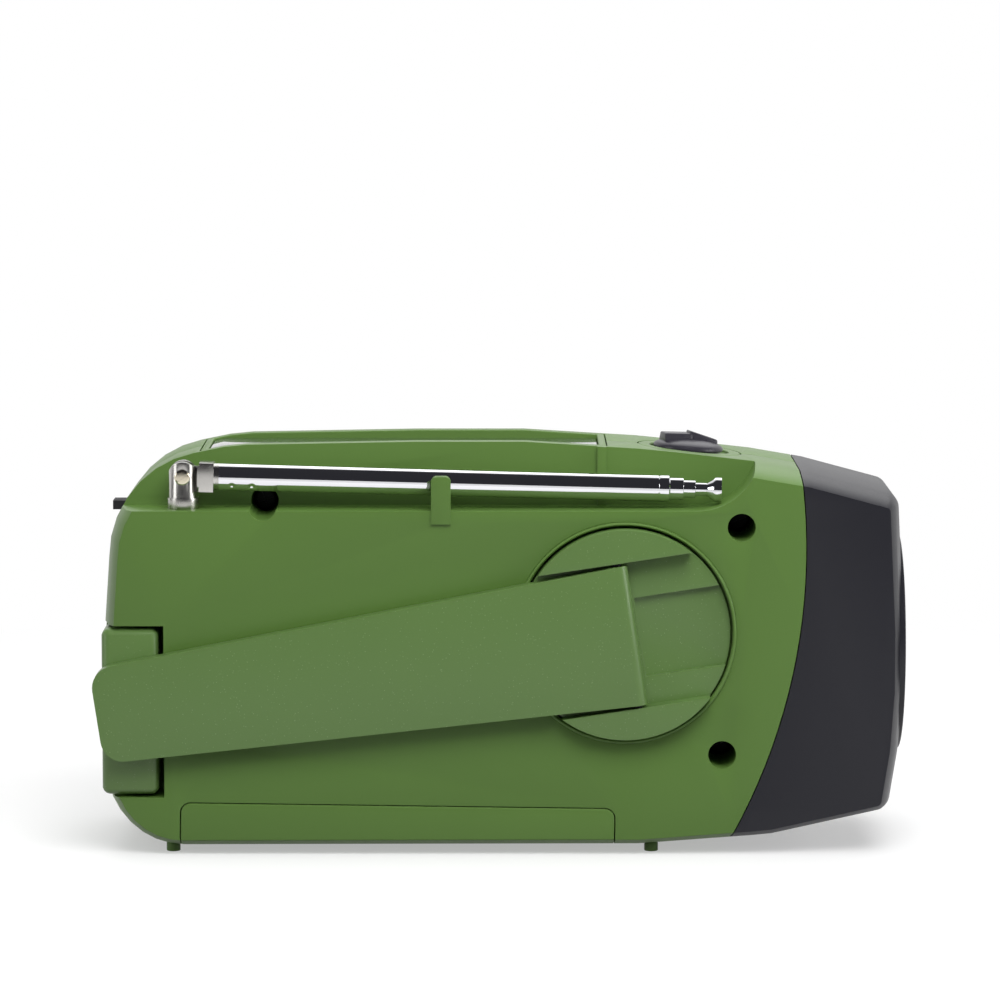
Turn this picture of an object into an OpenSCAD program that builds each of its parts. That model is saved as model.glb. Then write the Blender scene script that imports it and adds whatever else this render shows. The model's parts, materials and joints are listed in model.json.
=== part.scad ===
// Hand-crank emergency radio with a torch head, a solar panel and a folding crank.
// X runs along the body towards the torch, -Y is the crank side, +Z is up, and Z = 0 is
// the plane that the feet stand on. Millimetres throughout.

/* [Body] */
// Depth of the body between its flat back and front faces
body_d = 50; // [44:1:64]
// Wall thickness of the moulded shells
wall = 2.2; // [1.8:0.1:2.6]
// How far the broad faces are drawn in at their edges
edge_draw = 2.3; // [1.5:0.1:3]
// Gap between moulded parts that meet
part_gap = 0.2; // [0.1:0.05:0.4]
// Radius of the feet below the rounded underside
foot_r = 1.4; // [1:0.1:2]

/* [Crank] */
// Radius of the crank disc
disc_r = 21.1; // [18:0.1:22]
// Length of the folding arm
arm_l = 109.1; // [100:0.5:110]
// Width of the arm at its hinge
arm_root_w = 28.1; // [24:0.1:29]
// Width of the arm at its tip
arm_tip_w = 19.4; // [15:0.1:22]
// Thickness of the arm
arm_t = 4.2; // [3.4:0.1:4.6]
// Angle of the folded arm below level
arm_tilt = 8.65; // [7:0.05:10]
// Length of the grip
grip_l = 33.5; // [28:0.5:34]
// Depth of the grip below the arm
grip_d = 12; // [9:0.5:13]

/* [Antenna] */
// Radius of the outer antenna tube
mast_r = 2.7; // [2.4:0.05:2.9]
// Length of the outer antenna tube
mast_l = 91.4; // [80:0.5:92]
// Depth of the bay that the antenna lies in
bay_d = 12; // [11:0.5:14]

/* [Top] */
// Length of the solar panel
solar_l = 79; // [60:1:80]
// Width of the solar panel
solar_w = 22; // [16:1:24]
// Radius of the selector knob
knob_r = 7.3; // [6:0.1:8.5]

/* [Front] */
// Radius of the speaker grille
grille_r = 24; // [20:0.5:26]
// Radius of the tuning knob
tuner_r = 11; // [8:0.5:12]
// Radius of the volume knob
volume_r = 8; // [6:0.5:9]
// How far the front knobs stand out
knob_proud = 4.4; // [3:0.1:6]

/* [Torch] */
// Radius of the clear torch lens
lens_r = 21; // [17:0.5:21]
// Radius of the parting curve between the body and the torch head
split_r = 119.8; // [115:0.1:125]

/* [Hidden] */
$fn = 48;
BIG = 400;
EPS = 0.02;

back_y = -body_d / 2;
front_y = body_d / 2;

// Corner circles of the side outline: x, z, radius
BASE_CORNER = [-64.5, 16.7, 16];
outline = [BASE_CORNER, [-51.1, 38, 30], [-58.65, 59.4, 21], [-52, 57.7, 24], [-18, 42.3, 40],
    [4, 42.3, 40], [46.6, 58.75, 20], [57.5, 56.9, 20], [76, 69.3, 3.2], [70.3, 45, 10],
    [70.3, 33, 10], [70, 22, 9.5], [74.4, 11.05, 3.4], [50, 22.6, 20], [27, 40.9, 40]];
top_z = 82.3;
// Edge profile: depth below a broad face, and inset there as a share of edge_draw
edge_steps = [[0, 1], [2.5, 0.5], [9, 0]];

split_x = -59.6;
split_z = 61.3;
body_end_x = 59;

// Antenna bay
bay_floor_z = 69.5;
bay_end_x = 38.4;
bay_end_r = 12.4;
bay_y = back_y + bay_d;
mast_x = -64.5;
mast_y = back_y + bay_d / 2;
mast_z = 76;
mast_droop = 1.5;
post_r = 2.95;
post_slot = 1.8;
blade_t = 1.6;
pivot_r = 0.9;
run_gap = 0.05;
mast_start = 6.2;
mast_wall = 0.4;
mast_steps = [2.7, 2.4, 2.2];
tip_l = 3;
tip_r = 2.5;
clip_x = -12.8;
clip_w = 3.9;
clip_t = 2.4;
clip_top_z = 76.4;
clip_root_z = 66.9;
clip_proud = 0.6;
clip_corner = 1.1;
rib_x = 19.5;
rib_w = 1.8;
rib_t = 1.2;

// Crank
disc_x = 24;
disc_z = 45;
disc_gap = 0.45;
disc_t = 3.5;
crescent_h = 3.7;
slot_gap = 0.6;
ring_w = 0.8;
ring_d = 0.5;
arm_gap = 0.2;
arm_root_x = 26.4;
arm_root_z = 45.1;
arm_corner = 4.5;
pin_r = 0.9;
pin_bite = 2.6;
pocket_d = 1.4;
pocket_w = 16;
pocket_x = 0.5;
grip_w = 11.4;
grip_gap = 0.6;
grip_x = -75.1;
grip_z = 29.05;
grip_round = 1.6;
grip_pin_r = 2.2;
grip_pin_y = back_y - arm_gap - arm_t + 1.4;
notch_x = grip_x + grip_w / 2 + 1.1;
notch_y = back_y + grip_d + 0.8;

// Gear train
shaft_r = 3;
bush_r = 5;
well_floor_y = back_y + disc_t + 0.4;
drive_teeth = 48;
pinion_teeth = 12;
idler_teeth = 36;
drive_m = 0.7;
idler_m = 0.6;
mesh_play = 0.1;
drive_t = 3;
drive_y = well_floor_y + wall + 1.2;
idler_y = drive_y + drive_t + 1.2;
idler_t = 2.5;
rotor_y = idler_y + idler_t + 1.2;
rotor_t = 3.6;
plate_y = rotor_y + rotor_t + 1;
plate_t = 1.6;
idler_x = disc_x - drive_m * (drive_teeth + pinion_teeth) / 2 - mesh_play;
rotor_x = idler_x - idler_m * (idler_teeth + pinion_teeth) / 2 - mesh_play;
axle_r = 1;
magnet_r = 7;
stator_gap = 0.5;
stator_w = 2.8;
post_size = 2.2;
plate_posts = [[-27, 30], [-27, 60], [49, 34], [49, 56]];

// Battery
door_x0 = -65;
door_x1 = 22;
door_z = 10.6;
door_tilt = 0.78;
door_corner = 2;
door_y = back_y + 19;
cell_r = 9.2;
cell_l = 65;
cell_x = -57;
cell_z = 13.2;
cell_y = back_y + wall + cell_r + 0.6;
contact_t = 0.6;

// Top
tray_x0 = -60;
tray_y = 1.5;
panel_top_z = 80.7;
panel_inset = 0.35;
panel_t = 1.8;
tray_floor = 1.5;
tray_rim = 1.5;
knob_x = 37.6;
knob_slope = 4.7;
knob_seat_z = 79.75;
knob_h = 3.7;
plate_r = 10.5;
plate_depth = 3.2;
knob_stem_r = 2;
switch_size = 12;
switch_h = 7;

// Screw bosses: x, z
screws = [[-48.4, 70.4], [47.2, 66.2], [43.5, 20.4], [-63, 25.5]];
recess_r = 2.8;
boss_r = 4.3;
screw_head_r = 2.5;
screw_r = 1.4;
screw_seat_y = -6;
screw_head_t = 2;

// Front
speaker_x = -37;
speaker_z = 43;
speaker_y = front_y - wall;
window_x = 15.5;
window_z = 60;
window_w = 51;
window_h = 17;
window_t = 1.4;
tuner_x = 27;
tuner_z = 27;
volume_x = 4;
volume_z = 26;
stem_r = 3;
button_z = 44;
button_w = 9;
button_h = 4.6;
button_proud = 1.2;
button_travel = 0.8;
button_gap = 0.25;
button_xs = [-5, 9, 23, 37];
board_y = front_y - 11;
board_t = 1.6;
board_x0 = -10;
board_x1 = 54;
board_z0 = 14;
board_z1 = 73;
lcd_t = 3;

// Torch
lens_x = 78;
lens_z = 40.5;
lens_rim = 2;
lens_wall = 1.5;
lens_skin = 0.4;
lens_bulge = 4;
bezel_w = 1.3;
led_x = 61.5;
led_r = 2.5;

// Side ports
port_y0 = -8;
port_y1 = 10;
port_z0 = 49;
port_z1 = 69.6;
tab_x = -79.9;
tab_w = 6;
tab_h = 1.8;
port_t = 0.9;
port_hinge_gap = 1.1;
port_hinge_x = -79.95;
port_hinge_z = port_z0 - 0.25;
port_top_gap = 0.5;

feet_x = [-66.9, 29.5];
feet_y = body_d / 2 - 6;

GREEN = [0.37, 0.50, 0.24];
ARM_GREEN = [0.41, 0.53, 0.31];
BLACK = [0.17, 0.18, 0.2];
METAL = [0.75, 0.75, 0.77];

// ---- Shared shapes ----

// A cylinder along +Y that starts at y
module bar_y(x, z, r, y, l) {
    translate([x, y, z]) rotate([-90, 0, 0]) cylinder(r = r, h = l);
}

// A cylinder along +X that starts at x
module bar_x(x, y, z, r, l) {
    translate([x, y, z]) rotate([0, 90, 0]) cylinder(r = r, h = l);
}

// A block given by its low corner and high corner
module block(lo, hi) {
    translate(lo) cube(hi - lo);
}

// The body's rounded outer form, shrunk on all sides by inset
module body_form(inset = 0) {
    hull() for (step = edge_steps, c = outline) {
        l = body_d - 2 * inset - 2 * step[0];
        translate([c[0], -l / 2, c[1]]) rotate([-90, 0, 0])
            cylinder(r = c[2] - inset - step[1] * edge_draw, h = l, $fn = 32);
    }
}

module shell() {
    difference() {
        body_form();
        body_form(wall);
    }
}

// Space on the body's side of the curved joint with the torch head
module body_side(grow = 0) {
    bar_y(split_x, split_z, split_r + grow, -BIG / 2, BIG);
}

// Everything behind the parting plane (side -1) or in front of it (side 1)
module half(side) {
    translate([-BIG / 2, side < 0 ? -BIG - part_gap / 2 : part_gap / 2, -BIG / 2]) cube(BIG);
}

// The antenna bay, open at the top and at the left, grown by m
module bay(m = 0) {
    arc = [for (a = [-90 : 6 : 0])
        [bay_end_x + (bay_end_r + m) * cos(a), bay_floor_z + bay_end_r + (bay_end_r + m) * sin(a)]];
    translate([0, bay_y + m, 0]) rotate([90, 0, 0]) linear_extrude(bay_d + m + 5)
        polygon(concat([[-BIG / 2, bay_floor_z - m]], arc,
            [[bay_end_x + bay_end_r + m, BIG / 2], [-BIG / 2, BIG / 2]]));
}

// The pocket that the stowed grip lies in, open at the left, grown by m
module notch(m = 0) {
    block([-BIG / 2, back_y - 5, grip_z - grip_l / 2 - grip_gap - m],
        [notch_x + m, notch_y + m, grip_z + grip_l / 2 + grip_gap + m]);
}

// The round well of the crank disc, grown by m
module well(m = 0) {
    bar_y(disc_x, disc_z, disc_r + disc_gap + m, back_y - 1, well_floor_y - back_y + 1 + m);
}

// Opening for the solar frame, the knob plate, the battery door and the ports
module tray_block(m = 0) {
    block([tray_x0 - tray_rim - m, tray_y - solar_w / 2 - tray_rim - m,
            panel_top_z - panel_t - tray_floor - m],
        [tray_x0 + solar_l + tray_rim + m, tray_y + solar_w / 2 + tray_rim + m, top_z + 5]);
}

module knob_axis(z) {
    translate([knob_x, 0, knob_seat_z]) rotate([0, knob_slope, 0]) translate([0, 0, z]) children();
}

module plate_bore(m = 0) {
    knob_axis(-plate_depth - m) cylinder(r = plate_r + m, h = plate_depth + 6);
}

module door_block(m = 0) {
    translate([door_x0, 0, door_z]) rotate([0, door_tilt, 0]) translate([-door_x0, 0, -door_z]) {
        block([door_x0 - m, back_y - 5, -5], [door_x1 + m, door_y + m, door_z - door_corner]);
        block([door_x0 + door_corner, back_y - 5, -5], [door_x1 - door_corner, door_y + m, door_z + m]);
        for (x = [door_x0 + door_corner, door_x1 - door_corner])
            bar_y(x, door_z - door_corner, door_corner + m, back_y - 5, door_y + m - back_y + 5);
    }
}

module port_block(m = 0, hinge = 0, top = 0) {
    block([-BIG / 2, port_y0 - m, port_z0 - m - hinge], [-70, port_y1 + m, port_z1 + m + top]);
}

module port_recess() {
    difference() {
        port_block(part_gap, port_hinge_gap, port_top_gap);
        body_form(port_t + part_gap);
    }
}

// Places its children in the frame of the folded arm: -X along the arm, Z across it
module arm_frame() {
    translate([arm_root_x, back_y, arm_root_z]) rotate([0, -arm_tilt, 0]) children();
}

// The slot in the crank disc, above the level of the back face
module arm_slot() {
    arm_frame() translate([-BIG / 2, -BIG, -arm_root_w / 2 - slot_gap])
        cube([BIG, BIG, arm_root_w + 2 * slot_gap]);
}

module mast_frame() {
    translate([mast_x, mast_y, mast_z]) rotate([0, mast_droop, 0]) children();
}

// A spur gear with straight-sided teeth, one tooth centred on angle phase, along +Y
module spur(teeth, m, t, phase) {
    step = 360 / teeth;
    root = m * (teeth / 2 - 1.2);
    tip = m * (teeth / 2 + 0.8);
    pts = [for (i = [0 : teeth - 1], k = [[-0.3, root], [-0.1, tip], [0.1, tip], [0.3, root]])
        [k[1] * cos(i * step + phase + k[0] * step), k[1] * sin(i * step + phase + k[0] * step)]];
    translate([0, t, 0]) rotate([90, 0, 0]) linear_extrude(t) polygon(pts);
}

// ---- Shells ----

module recess_cut(p) {
    bar_y(p[0], p[1], recess_r, back_y - 1, screw_seat_y - back_y + 1);
    bar_y(p[0], p[1], screw_r + run_gap, screw_seat_y - 1, -screw_seat_y + 2);
}

module back_cover() color(GREEN) {
    difference() {
        intersection() {
            union() {
                shell();
                intersection() {
                    body_form();
                    union() {
                        bay(wall);
                        notch(wall);
                        well(wall);
                        for (p = screws) bar_y(p[0], p[1], boss_r, back_y, body_d / 2);
                    }
                }
            }
            half(-1);
            body_side(-part_gap / 2);
        }
        difference() {
            bay();
            bay_rib();
        }
        notch();
        well();
        well_ring();
        bar_y(disc_x, disc_z, bush_r + run_gap, back_y, -back_y);
        for (p = screws) recess_cut(p);
        tray_block(part_gap);
        plate_bore(part_gap);
        door_block(part_gap);
        port_recess();
        port_holes();
        post_foot(run_gap);
    }
    clip_tab();
}

module clip_tab() {
    block([clip_x - clip_w / 2, back_y - clip_proud, clip_root_z],
        [clip_x + clip_w / 2, back_y + clip_t, clip_top_z - clip_corner]);
    for (sx = [-1, 1])
        bar_y(clip_x + sx * (clip_w / 2 - clip_corner), clip_top_z - clip_corner, clip_corner,
            back_y - clip_proud, clip_t + clip_proud);
    block([clip_x - clip_w / 2 + clip_corner, back_y - clip_proud, clip_root_z],
        [clip_x + clip_w / 2 - clip_corner, back_y + clip_t, clip_top_z]);
}

module bay_rib() {
    block([rib_x - rib_w / 2, bay_y - rib_t, bay_floor_z - 1], [rib_x + rib_w / 2, bay_y + 1, top_z]);
}

module well_ring() {
    difference() {
        bar_y(disc_x, disc_z, disc_r + disc_gap + ring_w, back_y - 1, ring_d + 1);
        bar_y(disc_x, disc_z, disc_r, back_y - 1, ring_d + 1);
    }
}

module front_cover() color(GREEN) {
    difference() {
        intersection() {
            union() {
                shell();
                intersection() {
                    body_form();
                    for (p = screws) bar_y(p[0], p[1], boss_r, 0, body_d / 2);
                }
            }
            half(1);
            body_side(-part_gap / 2);
        }
        for (p = screws) bar_y(p[0], p[1], screw_r + run_gap, -1, 14);
        tray_block(part_gap);
        plate_bore(part_gap);
        bar_y(speaker_x, speaker_z, grille_r + part_gap, front_y - wall - 1, wall + 2);
        window_block(part_gap);
        for (x = button_xs) button_form(x, button_gap, 10);
        bar_y(tuner_x, tuner_z, stem_r + part_gap, front_y - wall - 1, wall + 2);
        bar_y(volume_x, volume_z, stem_r + part_gap, front_y - wall - 1, wall + 2);
        port_recess();
        port_holes();
    }
}

module window_block(m = 0) {
    block([window_x - window_w / 2 - m, front_y - window_t - m, window_z - window_h / 2 - m],
        [window_x + window_w / 2 + m, front_y + (m > 0 ? 1 : 0), window_z + window_h / 2 + m]);
    block([window_x - window_w / 2 + 3 - m, front_y - wall - (m > 0 ? 1 : 0), window_z - window_h / 2 + 3 - m],
        [window_x + window_w / 2 - 3 + m, front_y - window_t, window_z + window_h / 2 - 3 + m]);
}

module button_form(x, m, extra = 0) {
    r = button_h / 2 + m;
    for (s = [-1, 1])
        bar_y(x + s * (button_w - button_h) / 2, button_z, r, front_y - wall - 1 - extra / 2,
            wall + 1 + button_proud + extra);
    block([x - (button_w - button_h) / 2, front_y - wall - 1 - extra / 2, button_z - r],
        [x + (button_w - button_h) / 2, front_y + button_proud + extra / 2, button_z + r]);
}

module torch_head() color(BLACK) {
    difference() {
        shell();
        body_side(part_gap / 2);
        translate([-BIG + body_end_x - 20, -BIG / 2, -BIG / 2]) cube(BIG);
        bar_x(lens_x - 12, 0, lens_z, lens_r + bezel_w + part_gap, 30);
    }
}

module lens_bezel() color(BLACK) {
    difference() {
        bar_x(lens_x - 4.2, 0, lens_z, lens_r + bezel_w, 6.6);
        bar_x(lens_x - lens_rim, 0, lens_z, lens_r + run_gap, 10);
        bar_x(lens_x - 10, 0, lens_z, lens_r - 0.8, 20);
    }
}

module torch_lens() color([0.85, 0.9, 0.95, 0.4]) {
    ball_r = (lens_r * lens_r + lens_bulge * lens_bulge) / (2 * lens_bulge);
    half_angle = asin(lens_r / ball_r);
    dome = [for (k = [0 : 10]) let (a = half_angle * (1 - k / 10))
        [ball_r * sin(a), ball_r * cos(a) - ball_r + lens_bulge]];
    translate([lens_x, 0, lens_z]) rotate([0, 90, 0]) rotate_extrude($fn = 96)
        polygon(concat([[0, -lens_skin], [lens_r - lens_wall, -lens_skin], [lens_r - lens_wall, -lens_rim],
            [lens_r, -lens_rim]], dome));
}

module torch_reflector() color(METAL) {
    throat = led_r + 1.2;
    rim = lens_r - 1.2;
    depth = lens_x - lens_rim - 2.3 - led_x;
    steps = 8;
    outer = [for (i = [0 : steps]) [throat + 1 + (rim - throat - 1) * sqrt(i / steps), depth * i / steps]];
    inner = [for (i = [steps : -1 : 0]) [throat + (rim - 1 - throat) * sqrt(i / steps), depth * i / steps]];
    translate([led_x, 0, lens_z]) rotate([0, 90, 0]) rotate_extrude($fn = 64)
        polygon(concat([[throat + 1, -1.6]], outer, inner, [[throat, -1.6]]));
    difference() {
        bar_x(lens_x - lens_rim - 2.5, 0, lens_z, lens_r + bezel_w, 0.3);
        bar_x(lens_x - lens_rim - 3, 0, lens_z, rim - 0.9, 2);
    }
}

module torch_board() color([0.1, 0.35, 0.2]) bar_x(led_x - 3.2, 0, lens_z, 8, 1.6);

module torch_led() color([0.95, 0.93, 0.75]) {
    bar_x(led_x - 1.6, 0, lens_z, led_r, 2.4);
    translate([led_x + 0.8, 0, lens_z]) sphere(r = led_r * 0.9);
}

// ---- Top ----

module solar_frame() color(GREEN) {
    difference() {
        intersection() {
            body_form();
            tray_block();
        }
        block([tray_x0, tray_y - solar_w / 2, panel_top_z - panel_t],
            [tray_x0 + solar_l, tray_y + solar_w / 2, top_z + 5]);
    }
}

module solar_panel() color([0.08, 0.09, 0.16]) {
    intersection() {
        body_form(panel_inset);
        block([tray_x0 + part_gap, tray_y - solar_w / 2 + part_gap, panel_top_z - panel_t],
            [tray_x0 + solar_l - part_gap, tray_y + solar_w / 2 - part_gap, panel_top_z]);
    }
}

module knob_plate() color(GREEN) {
    difference() {
        intersection() {
            body_form();
            knob_axis(-plate_depth) cylinder(r = plate_r, h = plate_depth + 5);
        }
        knob_axis(-plate_depth - 1) cylinder(r = knob_stem_r + run_gap, h = 20);
        knob_axis(-0.8) cylinder(r = knob_r + 0.8, h = 5);
    }
}

module mode_knob() color(BLACK) {
    knob_axis(-plate_depth - 4) cylinder(r = knob_stem_r, h = plate_depth + 4);
    knob_axis(-0.6) {
        cylinder(r = knob_r, h = 1.9);
        translate([0, 0, 1.9]) cylinder(r1 = knob_r, r2 = knob_r - 1.2, h = 0.8);
        translate([-knob_r + 1.2, -1.3, 1.9]) cube([2 * knob_r - 2.4, 2.6, knob_h - 1.3]);
    }
}

module mode_switch() color([0.2, 0.2, 0.2]) {
    difference() {
        knob_axis(-plate_depth - switch_h) translate([-switch_size / 2, -switch_size / 2, 0])
            cube([switch_size, switch_size, switch_h - 0.1]);
        knob_axis(-plate_depth - 4.2) cylinder(r = knob_stem_r + run_gap, h = 20);
    }
}

// ---- Crank ----

module crank_disc() color(ARM_GREEN) {
    difference() {
        union() {
            bar_y(disc_x, disc_z, disc_r, back_y, disc_t);
            difference() {
                bar_y(disc_x, disc_z, disc_r, back_y - crescent_h, crescent_h + 1);
                arm_slot();
            }
        }
        bar_y(disc_x, disc_z, shaft_r + run_gap, back_y + 1.8, disc_t);
        arm_frame() translate([pocket_x, -1, -pocket_w / 2 - 1])
            cube([disc_r * 2, 1 + pocket_d, pocket_w]);
        arm_pin_bar(run_gap);
    }
}

module arm_pin_bar(m = 0) {
    l = arm_root_w + 2 * slot_gap + 2 * pin_bite + 2 * m;
    arm_frame() translate([-arm_t / 2, -arm_gap - arm_t / 2, -l / 2]) cylinder(r = pin_r + m, h = l);
}

module arm_pin() color(METAL) arm_pin_bar();

module crank_shaft() color(METAL) {
    bar_y(disc_x, disc_z, shaft_r, back_y + 1.8, plate_y + plate_t - back_y - 1.8);
}

module crank_bush() color([0.72, 0.58, 0.3]) {
    difference() {
        bar_y(disc_x, disc_z, bush_r, well_floor_y - 0.2, wall + 0.6);
        bar_y(disc_x, disc_z, shaft_r + run_gap, back_y, -back_y);
    }
}

module crank_arm() color(ARM_GREEN) {
    tip = arm_tip_w / 2 - arm_corner;
    arm_frame() difference() {
        union() {
            translate([0, -arm_gap, 0]) rotate([90, 0, 0]) linear_extrude(arm_t) polygon(concat(
                [[-arm_t / 2, arm_root_w / 2]],
                [for (a = [90 : 10 : 180]) [-arm_l + arm_corner * (1 + cos(a)), tip + arm_corner * sin(a)]],
                [for (a = [180 : 10 : 270]) [-arm_l + arm_corner * (1 + cos(a)), -tip + arm_corner * sin(a)]],
                [[-arm_t / 2, -arm_root_w / 2]]));
            translate([-arm_t / 2, -arm_gap - arm_t / 2, -arm_root_w / 2])
                cylinder(r = arm_t / 2, h = arm_root_w);
        }
        translate([-arm_t / 2, -arm_gap - arm_t / 2, -arm_root_w])
            cylinder(r = pin_r + run_gap, h = 2 * arm_root_w);
        arm_frame_inverse() grip_pin_cut();
    }
}

// Undoes arm_frame for shapes that are placed in the body's own frame
module arm_frame_inverse() {
    rotate([0, arm_tilt, 0]) translate([-arm_root_x, -back_y, -arm_root_z]) children();
}

module grip_pin_cut() {
    bar_y(grip_x, grip_z, grip_pin_r + run_gap, grip_pin_y - 0.2, BIG);
}

module crank_grip() color(ARM_GREEN) {
    difference() {
        hull() for (sx = [-1, 1], sz = [-1, 1], y = [back_y + grip_round, back_y + grip_d - grip_round])
            translate([grip_x + sx * (grip_w / 2 - grip_round), y, grip_z + sz * (grip_l / 2 - grip_round)])
                sphere(r = grip_round, $fn = 16);
        bar_y(grip_x, grip_z, grip_pin_r + run_gap, back_y - 1, grip_d - 2);
    }
}

module grip_pin() color(METAL) {
    bar_y(grip_x, grip_z, grip_pin_r, grip_pin_y, back_y + grip_d - 3.2 - grip_pin_y);
}

// ---- Gear train ----

module drive_gear() color([0.9, 0.88, 0.8]) {
    difference() {
        union() {
            translate([disc_x, drive_y, disc_z]) spur(drive_teeth, drive_m, drive_t, 180);
            bar_y(disc_x, disc_z, 2 * shaft_r, drive_y - 0.8, drive_t + 1.6);
        }
        bar_y(disc_x, disc_z, shaft_r + run_gap, back_y, -back_y);
    }
}

module idler_gear() color([0.9, 0.88, 0.8]) {
    difference() {
        union() {
            translate([idler_x, drive_y - 0.3, disc_z])
                spur(pinion_teeth, drive_m, idler_y - drive_y + 0.3, 180 / pinion_teeth);
            translate([idler_x, idler_y, disc_z]) spur(idler_teeth, idler_m, idler_t, 180);
        }
        bar_y(idler_x, disc_z, axle_r + run_gap, back_y, -back_y);
    }
}

module idler_axle() color(METAL) {
    bar_y(idler_x, disc_z, axle_r, drive_y - 1.2, plate_y + plate_t - drive_y + 1.2);
}

module dynamo_rotor() color([0.35, 0.35, 0.38]) {
    translate([rotor_x, idler_y - 0.3, disc_z])
        spur(pinion_teeth, idler_m, idler_t + 0.6, 180 / pinion_teeth);
    bar_y(rotor_x, disc_z, axle_r, idler_y - 1.2, plate_y + plate_t - idler_y + 1.2);
    bar_y(rotor_x, disc_z, magnet_r, rotor_y, rotor_t);
}

module dynamo_stator() color([0.65, 0.4, 0.2]) {
    difference() {
        bar_y(rotor_x, disc_z, magnet_r + stator_gap + stator_w, rotor_y - 0.2, plate_y - rotor_y + 0.2);
        bar_y(rotor_x, disc_z, magnet_r + stator_gap, rotor_y - 1, plate_y - rotor_y + 2);
    }
}

module gearbox_plate() color([0.3, 0.3, 0.32]) {
    difference() {
        union() {
            block([-30, plate_y, 27], [52, plate_y + plate_t, 63]);
            for (p = plate_posts)
                bar_y(p[0], p[1], post_size, back_y + wall + 0.1, plate_y - back_y - wall);
        }
        bar_y(disc_x, disc_z, shaft_r + run_gap, back_y, -back_y + 10);
        bar_y(idler_x, disc_z, axle_r + run_gap, back_y, -back_y + 10);
        bar_y(rotor_x, disc_z, axle_r + run_gap, back_y, -back_y + 10);
        for (p = screws) bar_y(p[0], p[1], boss_r + part_gap, back_y, -back_y + 10);
    }
}

// ---- Battery ----

module battery_door() color(GREEN) {
    intersection() {
        shell();
        door_block();
        body_side(-part_gap / 2);
        half(-1);
    }
}

module battery_cell() color([0.25, 0.4, 0.6]) {
    bar_x(cell_x, cell_y, cell_z, cell_r, cell_l);
    bar_x(cell_x + cell_l, cell_y, cell_z, cell_r / 3, 1.2);
}

module battery_contacts() color(METAL) {
    for (x = [cell_x - contact_t - 0.1, cell_x + cell_l + 1.3])
        block([x, cell_y - 7, cell_z - 7], [x + contact_t, cell_y + 7, cell_z + 7]);
}

// ---- Antenna ----

module post_foot(m = 0) {
    translate([mast_x, mast_y, bay_floor_z - wall - 1]) cylinder(r = 1.6 + m, h = wall + 2);
}

module antenna_post() color(METAL) {
    post_foot();
    difference() {
        union() {
            translate([mast_x, mast_y, bay_floor_z]) cylinder(r = 3.25, h = 2.2);
            translate([mast_x, mast_y, bay_floor_z]) cylinder(r = post_r, h = mast_z - bay_floor_z);
            intersection() {
                translate([mast_x, mast_y, mast_z - EPS]) cylinder(r = post_r, h = 6);
                bar_y(mast_x, mast_z, post_r + 0.05, mast_y - 6, 12);
            }
        }
        translate([mast_x - 6, mast_y - post_slot / 2, mast_z - post_r - 0.3])
            cube([12, post_slot, 10]);
        bar_y(mast_x, mast_z, pivot_r + run_gap, mast_y - 6, 12);
    }
}

module antenna_pivot() color([0.8, 0.68, 0.42]) {
    bar_y(mast_x, mast_z, pivot_r, mast_y - post_r - 0.3, 2 * post_r + 0.6);
}

module mast_tube(i) {
    outer = mast_r - i * (mast_wall + run_gap);
    reach = mast_start + mast_l + (i > 0 ? mast_steps[0] : 0) + (i > 1 ? mast_steps[1] : 0)
        + (i > 2 ? mast_steps[2] : 0);
    start = mast_start + 2 * i;
    difference() {
        rotate([0, 90, 0]) translate([0, 0, start]) cylinder(r = outer, h = reach - start);
        if (i < 3) rotate([0, 90, 0]) translate([0, 0, start + 1]) cylinder(r = outer - mast_wall, h = reach);
    }
}

module mast_tube_1() color(METAL) mast_frame() {
    mast_tube(0);
    difference() {
        union() {
            rotate([90, 0, 0]) cylinder(r = 2.4, h = blade_t, center = true);
            translate([0, -blade_t / 2, -2.1]) cube([5, blade_t, 4.2]);
            translate([3.3, -2.7, -2.9]) cube([mast_start - 3.3, 5.4, 5.8]);
        }
        rotate([90, 0, 0]) cylinder(r = pivot_r + run_gap, h = 10, center = true);
    }
}

module mast_tube_2() color(METAL) mast_frame() mast_tube(1);

module mast_tube_3() color(METAL) mast_frame() mast_tube(2);

module mast_tube_4() color(METAL) mast_frame() {
    reach = mast_start + mast_l + mast_steps[0] + mast_steps[1] + mast_steps[2];
    mast_tube(3);
    rotate([0, 90, 0]) translate([0, 0, reach]) {
        cylinder(r1 = 1.3, r2 = tip_r, h = tip_l * 0.6);
        translate([0, 0, tip_l * 0.6]) cylinder(r = tip_r, h = tip_l * 0.4);
    }
}

// ---- Front and inside ----

module main_board() color([0.1, 0.35, 0.2]) {
    difference() {
        block([board_x0, board_y, board_z0], [board_x1, board_y + board_t, board_z1]);
        for (p = screws) bar_y(p[0], p[1], boss_r + 0.5, board_y - 1, board_t + 2);
    }
}

module speaker_frame() color([0.3, 0.3, 0.32]) {
    difference() {
        union() {
            bar_y(speaker_x, speaker_z, grille_r - 0.5, speaker_y - 3, 3);
            bar_y(speaker_x, speaker_z, grille_r - 5, speaker_y - 9, 6.5);
        }
        bar_y(speaker_x, speaker_z, grille_r - 3, speaker_y - 2.4, 5);
        bar_y(speaker_x, speaker_z, grille_r - 6, speaker_y - 8, 9);
    }
}

module speaker_cone() color([0.12, 0.12, 0.13]) {
    translate([speaker_x, speaker_y - 7.9, speaker_z]) rotate([-90, 0, 0]) rotate_extrude()
        polygon([[0, 0], [6, 0], [grille_r - 6.5, 5.6], [grille_r - 3.2, 5.6], [grille_r - 3.2, 6.2],
            [grille_r - 6.8, 6.2], [6, 1], [0, 2.5]]);
}

module speaker_magnet() color([0.25, 0.25, 0.27]) bar_y(speaker_x, speaker_z, 11, speaker_y - 16, 7);

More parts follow.
